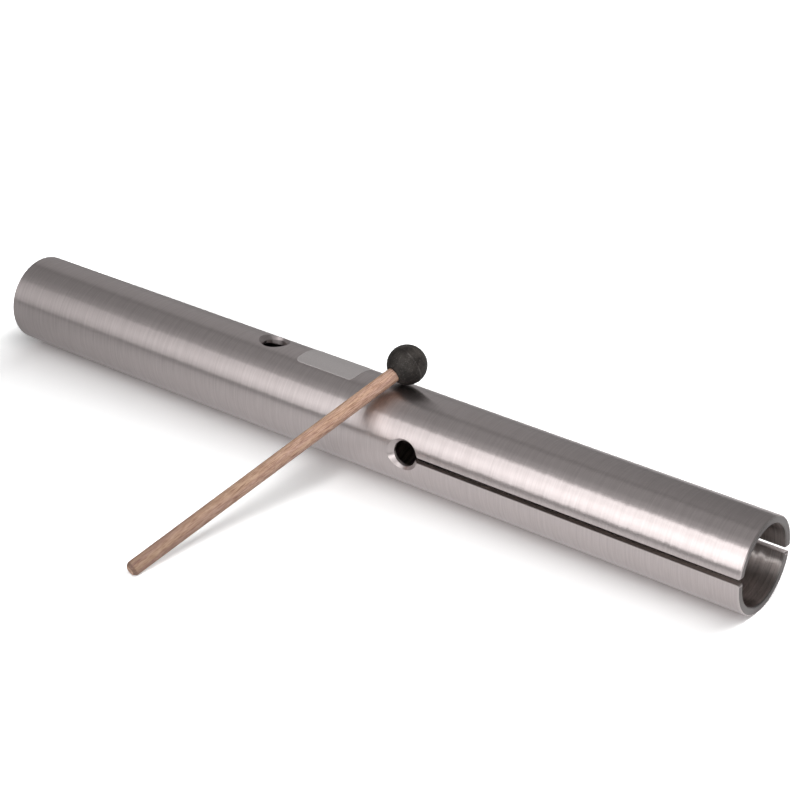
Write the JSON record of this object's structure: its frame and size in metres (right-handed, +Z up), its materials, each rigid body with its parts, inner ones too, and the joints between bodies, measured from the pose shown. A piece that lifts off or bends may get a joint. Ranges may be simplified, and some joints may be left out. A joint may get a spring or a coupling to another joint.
{
  "type": "wah-wah tube",
  "caption": "Slotted metal tube with a countersunk finger hole on top, played as a chime with the loose rubber-headed mallet that leans on it.",
  "frame": {"origin": "on the axis of the tube's bore, at the middle of its length; the tube lies on the ground 25 mm below", "axes": "+X along the tube towards its split end, +Z up; the mallet leans on the tube from -Y"},
  "size_m": [0.485, 0.1873, 0.0711],
  "materials": {
    "brushed_aluminium": "satin, brushed round the tube",
    "foil": "matt foil label, left bare",
    "beech": "sanded, unvarnished",
    "moulded_rubber": "matt, with a faint mould seam"
  },
  "bodies": {
    "root": {"tube": "brushed_aluminium", "label": "foil"},
    "mallet": {"mallet_handle": "beech", "mallet_head": "moulded_rubber"}
  },
  "joints": [
    {"name": "mallet_lift", "type": "slide", "parent": "root", "child": "mallet", "axis": [0, 0, 1], "range_m": [0, 0.1]}
  ]
}
